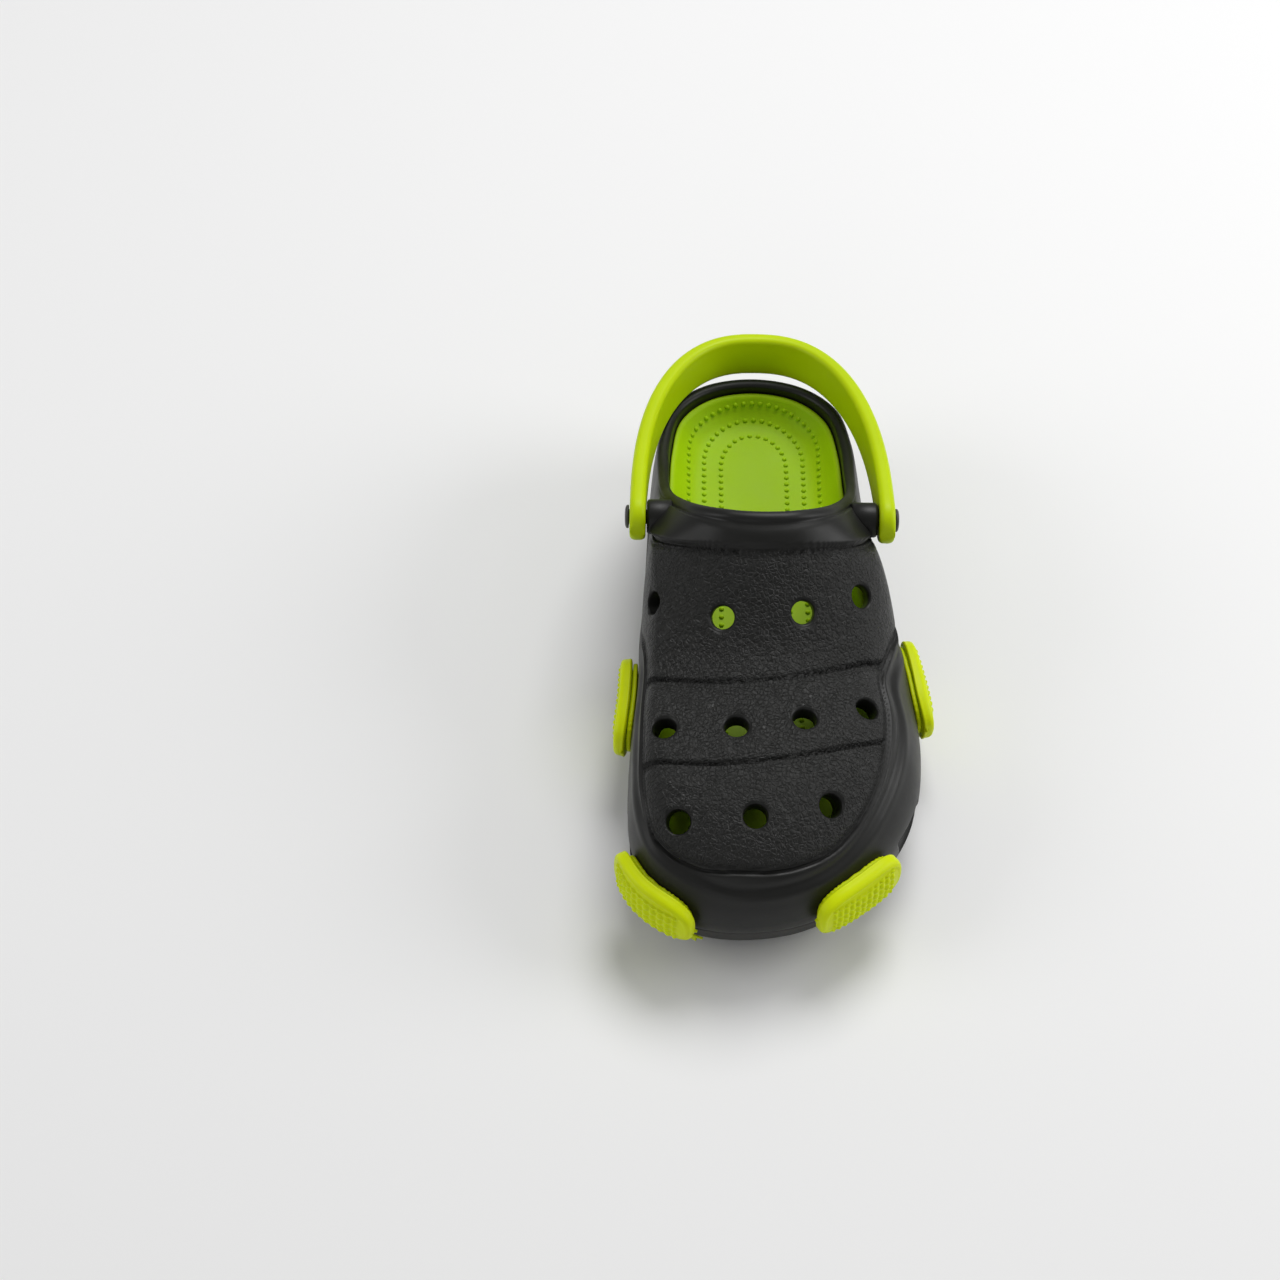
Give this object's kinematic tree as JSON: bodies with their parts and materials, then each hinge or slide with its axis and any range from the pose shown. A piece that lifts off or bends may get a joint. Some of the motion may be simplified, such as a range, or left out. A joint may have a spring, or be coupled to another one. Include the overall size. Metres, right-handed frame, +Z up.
{
  "type": "rubber garden clog",
  "caption": "Left foam clog with a vented upper, cupped footbed, drain slots, side bumper pads and a heel strap that swings on two rivets.",
  "frame": {"origin": "on the ground under the sole, below the instep", "axes": "+Z up, toe towards -Y, heel towards +Y, lateral side towards +X; it is a left clog"},
  "size_m": [0.1099, 0.2392, 0.088],
  "materials": {
    "shell": "matte, leather grain on the panels",
    "outsole": "matte",
    "footbed": "matte foam",
    "strap": "satin foam",
    "pads": "satin",
    "rivet": "satin"
  },
  "bodies": {
    "clog": {"shell": "shell", "outsole": "outsole", "footbed": "footbed", "rivet_post_medial": "rivet", "rivet_post_lateral": "rivet", "rivet_cap_medial": "rivet", "rivet_cap_lateral": "rivet", "toe_pad_medial": "pads", "toe_pad_lateral": "pads", "side_pad_medial": "pads", "side_pad_lateral": "pads", "toe_pad_backing_medial": "pads", "toe_pad_backing_lateral": "pads", "side_pad_backing_medial": "pads", "side_pad_backing_lateral": "pads"},
    "strap": {"heel_strap": "strap"}
  },
  "joints": [
    {"name": "strap_swing", "type": "hinge", "parent": "clog", "child": "strap", "pos_m": [0.0009, 0.031, 0.065], "axis": [1, 0, 0], "range_deg": [0, 160]}
  ]
}
